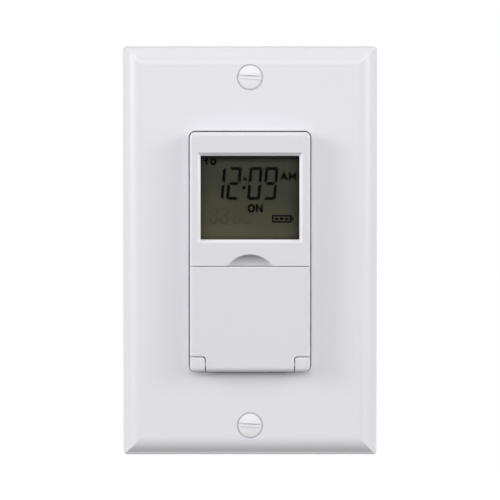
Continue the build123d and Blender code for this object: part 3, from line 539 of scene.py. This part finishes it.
def displayGlass():
    # Warm and light at the lower left, cooler to the right and upward; painted shade near its borders
    look = displayLook
    low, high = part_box("display_window")
    margin = look["hiddenMargin"]
    finish = newFinish("displayGlass")
    across, _, height = finish.axes()
    depths = {
        "left": across - (low.x + margin),
        "right": (high.x - margin) - across,
        "top": (high.z - margin - look["topShadeInset"]) - height,
        "foot": height - (low.z + margin),
    }
    # Painted shade: the bezel's shadow on the glass, fading in from each border, deepest at the top
    light = 1.0
    for side, depth in depths.items():
        shade = 1 - look["shadeDepth"][side]
        light = finish.between(depth / look["shadeReach"][side], shade, 1.0) * light
    blotches = finish.noise(*look["blotches"])
    cool = (across - low.x) / (high.x - low.x) * look["coolAcross"]
    cool = cool + (height - low.z) / (high.z - low.z) * look["coolUpward"]
    cool = cool + blotches * look["blotchShare"] - look["blotchShare"] / 2
    tint = finish.blend(cool, look["warm"], look["cool"])
    finish.surface(
        {
            "Base Color": finish.blend(light, look["bezelShadeTone"], tint),
            "Roughness": finish.between(blotches, *look["roughness"]),
            "Specular IOR Level": look["specular"],
        }
    )
    return finish


inkLook = {
    "grainScale": 900,
    "darker": 0.8,
    "roughness": (0.45, 0.6),
    "specular": 0.02,
}


def inkFinish(name, colour):
    look = inkLook
    finish = newFinish(name)
    grain = finish.noise(look["grainScale"])
    darker = tuple(channel * look["darker"] for channel in colour)
    finish.surface(
        {
            "Base Color": finish.blend(grain, colour, darker),
            "Roughness": finish.between(grain, *look["roughness"]),
            "Specular IOR Level": look["specular"],
        }
    )
    return finish


def slab(name, outlines, front, thickness, finish, body="unit"):
    # Flat shapes, each a list of (x, z) points, as thin slabs behind the plane y = front
    bm = bmesh.new()
    for outline in outlines:
        near = [bm.verts.new((x, front, z)) for x, z in outline]
        far = [bm.verts.new((x, front + thickness, z)) for x, z in outline]
        bm.faces.new(near)
        bm.faces.new(far[::-1])
        count = len(outline)
        for index in range(count):
            after = (index + 1) % count
            bm.faces.new((near[after], near[index], far[index], far[after]))
    bmesh.ops.recalc_face_normals(bm, faces=bm.faces)
    mesh = bpy.data.meshes.new(name)
    bm.to_mesh(mesh)
    bm.free()
    mesh.materials.append(finish.owner)
    piece = bpy.data.objects.new(name, mesh)
    scene.collection.objects.link(piece)
    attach(piece, body)


# Seven-segment figures. Bars are numbered from the top bar clockwise, and the middle bar is last.
barsOfDigit = {
    "0": (0, 1, 2, 3, 4, 5),
    "1": (1, 2),
    "2": (0, 1, 6, 4, 3),
    "8": (0, 1, 2, 3, 4, 5, 6),
    "9": (0, 1, 2, 3, 5, 6),
}

# How far the bars' ends are cut back, as shares of a bar's width
barLook = {
    "uprightCut": 0.6,
    "levelInset": 0.15,
    "levelCut": 0.7,
    "middleInset": 0.3,
}


def digitBars(text, left, foot, width, height, bar, gap, lean):
    half = height / 2
    uprightCut = bar * barLook["uprightCut"]
    levelCut = bar * barLook["levelCut"]
    levelInset = gap + bar * barLook["levelInset"]
    point = gap + bar * barLook["middleInset"]

    def sloped(points):
        return [(left + x + lean * y, foot + y) for x, y in points]

    def upright(x, low, high, inward):
        # Bevelled at both ends towards the middle of the digit
        return [
            (x, low + gap),
            (x + inward * bar, low + gap + uprightCut),
            (x + inward * bar, high - gap - uprightCut),
            (x, high - gap),
        ]

    def level(y, outward):
        return [
            (levelInset, y),
            (width - levelInset, y),
            (width - levelInset - levelCut, y - outward * bar),
            (levelInset + levelCut, y - outward * bar),
        ]

    middle = [
        (point, half),
        (gap + bar, half + bar / 2),
        (width - gap - bar, half + bar / 2),
        (width - point, half),
        (width - gap - bar, half - bar / 2),
        (gap + bar, half - bar / 2),
    ]
    bars = [
        level(height, 1),
        upright(width, half, height, -1),
        upright(width, 0, half, -1),
        level(0, -1),
        upright(0, 0, half, 1),
        upright(0, half, height, 1),
        middle,
    ]
    return [sloped(bars[index]) for index in barsOfDigit[text]]


def roundDot(x, z, radius, sides=20):
    turns = [2 * math.pi * index / sides for index in range(sides)]
    return [(x + radius * math.cos(turn), z + radius * math.sin(turn)) for turn in turns]


def rectangle(left, foot, right, top):
    return [(left, foot), (right, foot), (right, top), (left, top)]


def strip(near, far, across):
    # A straight stroke from near to far, reaching across to both sides
    return [tuple(point) for point in (near - across, far - across, far + across, near + across)]


# Sizes of what the display shows, in millimetres from the middle of its window
figureLook = {
    "height": 9.1,
    "width": 3.63,
    "bar": 0.84,
    "gap": 0.18,
    "lean": 0.09,
    "foot": -0.62,
    # Each digit and its left edge, and the middle of each dot of the colon
    "places": (("1", -11.02), ("2", -6.66), ("0", -0.87), ("9", 3.5)),
    "colon": ((-1.36, 5.17), (-1.69, 2.76)),
    "colonRadius": 0.5,
    "pen": 0.52,
    # Text, left edge and foot, width and height of a letter, and the space between letters
    "words": {
        "half_day_mark": ("AM", 8.4, 4.78, 2.1, 2.2, 0.25),
        "state_mark": ("ON", -0.6, -4.1, 1.95, 2.25, 0.25),
        "day_mark": ("10", -12.8, 9.0, 1.6, 1.95, 0.25),
    },
    "ghostHeight": 4.6,
    "ghostWidth": 2.3,
    "ghostFoot": -7.3,
    "ghostBar": 0.7,
    "ghostPlaces": (-11.4, -8.5, -4.9, -2.0),
}


# Strokes of the plain letters, in a box one unit wide and high
letterStrokes = {
    "A": ((0, 0, 0.5, 1), (1, 0, 0.5, 1), (0.2, 0.33, 0.8, 0.33)),
    "M": ((0, 0, 0, 1), (0, 1, 0.5, 0.3), (0.5, 0.3, 1, 1), (1, 1, 1, 0)),
    "N": ((0, 0, 0, 1), (0, 1, 1, 0), (1, 0, 1, 1)),
    "O": ((0.3, 0, 0.7, 0), (0.7, 0, 1, 0.25), (1, 0.25, 1, 0.75), (1, 0.75, 0.7, 1))
    + ((0.7, 1, 0.3, 1), (0.3, 1, 0, 0.75), (0, 0.75, 0, 0.25), (0, 0.25, 0.3, 0)),
    "1": ((0.5, 0, 0.5, 1), (0.5, 1, 0.1, 0.72)),
}
letterStrokes["0"] = letterStrokes["O"]


def letterShapes(text, left, foot, width, height, space, pen):
    # One four-cornered piece for each stroke, each letter kept within its own box
    shapes = []
    for index, letter in enumerate(text):
        corner = Vector((left + index * (width + space) + pen / 2, foot + pen / 2))
        for x, z, farX, farZ in letterStrokes[letter]:
            near = corner + Vector((x * (width - pen), z * (height - pen)))
            far = corner + Vector((farX * (width - pen), farZ * (height - pen)))
            along = (far - near).normalized() * pen / 2
            shapes.append(strip(near - along, far + along, Vector((-along.y, along.x))))
    return shapes


# The battery sign, in millimetres from the middle of the window. What ends in Walls counts wall widths.
batteryLook = {
    "left": 6.1,
    "foot": -6.95,
    "long": 5.4,
    "tall": 2.15,
    "wall": 0.45,
    "knobInsetWalls": 1.4,
    "knobLongWalls": 1.3,
    "cellStartWalls": 1.7,
    "cellInsetWalls": 1.6,
    "cells": 3,
    "cellStep": 1.4,
    "cellLong": 1.0,
}


def batteryShapes(centreX, centreZ):
    look = batteryLook
    left = centreX + look["left"] * mm
    right = left + look["long"] * mm
    foot = centreZ + look["foot"] * mm
    top = foot + look["tall"] * mm
    wall = look["wall"] * mm
    knob = wall * look["knobInsetWalls"]
    inset = wall * look["cellInsetWalls"]
    shapes = [
        rectangle(left, foot, right, foot + wall),
        rectangle(left, top - wall, right, top),
        rectangle(left, foot + wall, left + wall, top - wall),
        rectangle(right - wall, foot + wall, right, top - wall),
        rectangle(right, foot + knob, right + wall * look["knobLongWalls"], top - knob),
    ]
    for index in range(look["cells"]):
        cell = left + wall * look["cellStartWalls"] + index * look["cellStep"] * mm
        shapes.append(rectangle(cell, foot + inset, cell + look["cellLong"] * mm, top - inset))
    return shapes


def makeDisplay():
    windowLow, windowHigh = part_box("display_window")
    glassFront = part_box("lcd_panel")[0].y
    centreX = (windowLow.x + windowHigh.x) / 2
    centreZ = (windowLow.z + windowHigh.z) / 2
    dress(clearPane(), "display_window")
    dress(displayGlass(), "lcd_panel")
    ink = inkFinish("displayInk", displayLook["ink"])
    faint = inkFinish("faintInk", displayLook["ghost"])
    thickness = displayLook["inkThickness"]
    front = glassFront - thickness - displayLook["inkGap"]
    look = figureLook
    gap = look["gap"] * mm
    lean = look["lean"]
    bars = []
    foot = centreZ + look["foot"] * mm
    sizes = (look["width"] * mm, look["height"] * mm, look["bar"] * mm)
    for text, left in look["places"]:
        bars += digitBars(text, centreX + left * mm, foot, *sizes, gap, lean)
    for x, z in look["colon"]:
        bars.append(roundDot(centreX + x * mm, centreZ + z * mm, look["colonRadius"] * mm))
    slab("time_figures", bars, front, thickness, ink)
    ghosts = []
    foot = centreZ + look["ghostFoot"] * mm
    sizes = (look["ghostWidth"] * mm, look["ghostHeight"] * mm, look["bar"] * look["ghostBar"] * mm)
    for left in look["ghostPlaces"]:
        ghosts += digitBars("8", centreX + left * mm, foot, *sizes, gap, lean)
    slab("faint_figures", ghosts, front, thickness, faint)
    for name, (word, left, foot, width, height, space) in look["words"].items():
        corner = (centreX + left * mm, centreZ + foot * mm)
        shapes = letterShapes(word, *corner, width * mm, height * mm, space * mm, look["pen"] * mm)
        slab(name, shapes, front, thickness, ink)
    slab("battery_mark", batteryShapes(centreX, centreZ), front, thickness, ink)


# Small dark signs printed on the keys behind the cover. What ends in Share is a share of half a sign.
keyMarkLook = {
    "ink": (0.045, 0.048, 0.055),
    "thickness": 0.03 * mm,
    "line": 0.3 * mm,
    "half": 1.3 * mm,
    "rowStepShare": 0.75,
    "longHandShare": 0.62,
    "shortHandShare": 0.5,
    "arrowHalfShare": 0.9,
    "arrowFootShare": 0.6,
    "arrowTopShare": 0.9,
    "smallArrowShare": 0.62,
    "smallArrowRiseShare": 0.5,
    "lampDiscShare": 0.5,
    "rayStartShare": 0.72,
    "rayEndShare": 1.1,
    "rays": 8,
}


def ring(x, z, outer, inner, sides=28):
    # A flat ring as a chain of four-cornered pieces
    turns = [2 * math.pi * index / sides for index in range(sides + 1)]
    pieces = []
    for first, second in zip(turns, turns[1:]):
        arc = [(outer, first), (outer, second), (inner, second), (inner, first)]
        pieces.append(
            [(x + reach * math.cos(turn), z + reach * math.sin(turn)) for reach, turn in arc]
        )
    return pieces


# Each sign takes its middle, its half size and the width of its lines

def listSign(x, z, half, line):
    step = half * keyMarkLook["rowStepShare"]
    rows = [z - step, z, z + step]
    return [rectangle(x - half, row - line / 2, x + half, row + line / 2) for row in rows]


def clockSign(x, z, half, line):
    hands = [
        rectangle(x - line / 2, z, x + line / 2, z + half * keyMarkLook["longHandShare"]),
        rectangle(x + line / 2, z, x + half * keyMarkLook["shortHandShare"], z + line),
    ]
    return ring(x, z, half, half - line) + hands


def calendarSign(x, z, half, line):
    sides = [
        rectangle(x - half, z - half, x + half, z - half + line),
        rectangle(x - half, z + half - 2 * line, x + half, z + half),
        rectangle(x - half, z - half + line, x - half + line, z + half - 2 * line),
        rectangle(x + half - line, z - half + line, x + half, z + half - 2 * line),
    ]
    return sides + [rectangle(x - line, z - half / 2, x + line, z - half / 2 + 2 * line)]


def arrowSign(x, z, half, line):
    reach = half * keyMarkLook["arrowHalfShare"]
    foot = z - half * keyMarkLook["arrowFootShare"]
    return [[(x - reach, foot), (x + reach, foot), (x, z + half * keyMarkLook["arrowTopShare"])]]


def twoArrowSign(x, z, half, line):
    small = half * keyMarkLook["smallArrowShare"]
    rise = half * keyMarkLook["smallArrowRiseShare"]
    return arrowSign(x, z - rise, small, line) + arrowSign(x, z + rise, small, line)


def halfDiscSign(x, z, half, line, steps=14):
    inner = half - line
    turns = [math.pi * (index / steps - 0.5) for index in range(steps + 1)]
    disc = [(x + inner * math.cos(turn), z + inner * math.sin(turn)) for turn in turns]
    return ring(x, z, half, inner) + [disc]


def lampSign(x, z, half, line):
    look = keyMarkLook
    middle = Vector((x, z))
    disc = half * look["lampDiscShare"]
    rays = []
    for index in range(look["rays"]):
        turn = 2 * math.pi * index / look["rays"]
        along = Vector((math.cos(turn), math.sin(turn))) * half
        across = Vector((-math.sin(turn), math.cos(turn))) * line / 2
        near = middle + along * look["rayStartShare"]
        rays.append(strip(near, middle + along * look["rayEndShare"], across))
    return ring(x, z, disc, disc - line) + rays


def markKeys():
    look = keyMarkLook
    finish = inkFinish("keyInk", look["ink"])
    signs = {
        "program": listSign,
        "clock": clockSign,
        "day": calendarSign,
        "hour": arrowSign,
        "minute": twoArrowSign,
        "mode": halfDiscSign,
        "manual": lampSign,
    }
    for name, sign in signs.items():
        body = name + "_key"
        low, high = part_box(body)
        x = (low.x + high.x) / 2
        z = (low.z + high.z) / 2
        shapes = sign(x, z, look["half"], look["line"])
        slab(name + "_sign", shapes, low.y - look["thickness"], look["thickness"], finish, body)


# Threads on the screws that stand free behind the plate
threadLook = {
    "pitch": 0.794 * mm,
    "depth": 0.32 * mm,
    "sides": 24,
    "tipDepths": 1.4,  # the tip's radius is less by this many thread depths
    "rowsPerTurn": 6,
    "radius": 1.7525 * mm,
    "starts": {"box_screws": 1.2 * mm, "plate_screws": 0.6 * mm},  # along Y
}


def threadTube(bm, axis, start, end):
    # Rings whose radius follows the thread round the screw, narrowed and closed at its tip
    look = threadLook
    sides = look["sides"]
    radius = look["radius"]
    tip = radius - look["depth"] * look["tipDepths"]
    rows = round((end - start) / look["pitch"] * look["rowsPerTurn"])
    rings = []
    for row in range(rows + 1):
        y = start + (end - start) * row / rows
        loop = []
        for side in range(sides):
            phase = ((y - start) / look["pitch"] - side / sides) % 1
            reach = radius - look["depth"] * abs(2 * phase - 1)
            reach = min(reach, tip + (end - y))
            turn = 2 * math.pi * side / sides
            x = axis.x + reach * math.cos(turn)
            loop.append(bm.verts.new((x, y, axis.z + reach * math.sin(turn))))
        rings.append(loop)
    for near, far in zip(rings, rings[1:]):
        for side in range(sides):
            after = (side + 1) % sides
            bm.faces.new((near[side], near[after], far[after], far[side])).smooth = True
    bm.faces.new(rings[-1][::-1])


# Enamel lies in the slots of the plate's screws, so they are shallower than they were cut
slotLook = {
    "cut": 0.79 * mm,
    "slack": 0.05 * mm,
    "enamel": 0.3 * mm,
    "spread": 1.1,
}


def paintSlots(bm, front, middle):
    look = slotLook
    floor = front + look["cut"]
    for vert in bm.verts:
        if abs(vert.co.y - floor) < look["slack"]:
            vert.co.y -= look["enamel"]
            vert.co.x = middle + (vert.co.x - middle) * look["spread"]


def threadScrews():
    for node, start in threadLook["starts"].items():
        low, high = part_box(node)
        headRadius = (high.x - low.x) / 2
        middle = (high.x + low.x) / 2
        bm = bmesh.new()
        bm.from_mesh(nodes[node].data)
        bmesh.ops.bisect_plane(
            bm,
            geom=bm.verts[:] + bm.edges[:] + bm.faces[:],
            plane_co=(0, start, 0),
            plane_no=(0, 1, 0),
            clear_outer=True,
        )
        for z in (low.z + headRadius, high.z - headRadius):
            threadTube(bm, Vector((middle, 0, z)), start, high.y)
        if node == "plate_screws":
            paintSlots(bm, low.y, middle)
        bmesh.ops.recalc_face_normals(bm, faces=bm.faces)
        mesh = bpy.data.meshes.new("threaded_" + node)
        bm.to_mesh(mesh)
        bm.free()
        mesh.materials.clear()
        mesh.materials.append(nodes[node].data.materials[0])
        piece = bpy.data.objects.new("threaded_" + node, mesh)
        scene.collection.objects.link(piece)
        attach(piece, "unit")
        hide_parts(node)


# Studio: floor, soft lamps, world and camera

studioLook = {
    "floorDrop": 0.35,
    "floorSize": 6.0,
    "floorColour": 0.3,
    "floorLit": 0.6,
    "floorGlow": 0.9,
    "worldLight": 0.3,
    "target": (0, 0, 0),
    # Place, size and power of each lamp
    "lamps": {
        "frontLamp": ((0.0, -1.0, 0.45), (1.0, 0.3), 2.9),
        "topLamp": ((0.0, -0.9, 0.7), (1.0, 0.3), 1.8),
        "steepLamp": ((0.0, -0.3, 0.75), (0.9, 0.5), 0.1),
        "leftFrontLamp": ((-0.85, -0.7, 0.1), (0.3, 0.9), 1.3),
        "leftLamp": ((-1.0, -0.36, 0.36), (0.3, 0.6), 6.8),
        "rightFrontLamp": ((0.85, -0.7, 0.1), (0.3, 0.9), 1.6),
        "rightLamp": ((1.0, -0.36, 0.36), (0.3, 0.6), 5.5),
        "backLamp": ((0.0, 1.1, 0.35), (1.0, 0.6), 3.5),
    },
}


def shownWhite(finish):
    # 1 where the camera, a gloss or clear glass shows the background, and 0 for the light itself
    seen = finish.add("ShaderNodeLightPath")
    return seen + seen.other("Is Glossy Ray") + seen.other("Is Transmission Ray")


def makeFloor():
    look = studioLook
    size = look["floorSize"] / 2
    level = cadLow.z - look["floorDrop"]
    mesh = bpy.data.meshes.new("floor")
    corners = [(-size, -size, level), (size, -size, level), (size, size, level), (-size, size, level)]
    mesh.from_pydata(corners, [], [(0, 1, 2, 3)])
    floor = bpy.data.objects.new("floor", mesh)
    scene.collection.objects.link(floor)
    finish = newFinish("paleFloor")
    shown = shownWhite(finish)
    tone = finish.between(shown, look["floorColour"], look["floorLit"])
    colour = finish.add("ShaderNodeCombineColor", sockets={0: tone, 1: tone, 2: tone})
    plain = finish.add("ShaderNodeBsdfDiffuse", sockets={"Color": colour})
    glow = finish.add("ShaderNodeEmission", sockets={"Strength": shown * look["floorGlow"]})
    finish.finishWith(finish.add("ShaderNodeAddShader", sockets={0: plain, 1: glow}))
    mesh.materials.append(finish.owner)


def makeLamp(name, place, size, power):
    data = bpy.data.lights.new(name, "AREA")
    data.shape = "RECTANGLE"
    data.size, data.size_y = size
    data.energy = power
    lamp = bpy.data.objects.new(name, data)
    lamp.location = place
    lamp.rotation_mode = "QUATERNION"
    aim = Vector(studioLook["target"]) - Vector(place)
    lamp.rotation_quaternion = aim.to_track_quat("-Z", "Y")
    scene.collection.objects.link(lamp)


def makeWorld():
    world = bpy.data.worlds.new("studio")
    scene.world = world
    finish = Finish(world)
    soft = {"Color": white, "Strength": studioLook["worldLight"]}
    light = finish.add("ShaderNodeBackground", sockets=soft)
    bright = finish.add("ShaderNodeBackground", sockets={"Color": white, "Strength": 1.0})
    mixed = finish.add("ShaderNodeMixShader", sockets={0: shownWhite(finish), 1: light, 2: bright})
    finish.add("ShaderNodeOutputWorld", sockets={"Surface": mixed})


def makeLights():
    makeWorld()
    for name, (place, size, power) in studioLook["lamps"].items():
        makeLamp(name, place, size, power)


# The camera looks at the middle of the plate from a little above it
cameraLook = {
    "distance": 0.8,
    "tilt": math.radians(2.2),
    "lift": 0.25 * mm,
    "pixels": 500,
    "pixelsPerMetreAtWall": 3572,
    "sensor": 36,
}


def makeCamera():
    look = cameraLook
    seenWidth = look["pixels"] / look["pixelsPerMetreAtWall"]
    data = bpy.data.cameras.new("camera")
    data.sensor_width = look["sensor"]
    data.lens = data.sensor_width * look["distance"] / seenWidth
    camera = bpy.data.objects.new("camera", data)
    away = -look["distance"] * math.cos(look["tilt"])
    above = look["distance"] * math.sin(look["tilt"])
    camera.location = (0, away, above + look["lift"])
    camera.rotation_euler = (math.pi / 2 - look["tilt"], 0, 0)
    scene.collection.objects.link(camera)
    scene.camera = camera


dressMouldings()
dressHardware()
dressInside()
print("materials made:", len(bpy.data.materials))
makeDisplay()
markKeys()
print("display and key signs made")
threadScrews()
print("screws threaded")
makeFloor()
makeLights()
makeCamera()
scene.view_settings.view_transform = "Standard"
print("studio made")
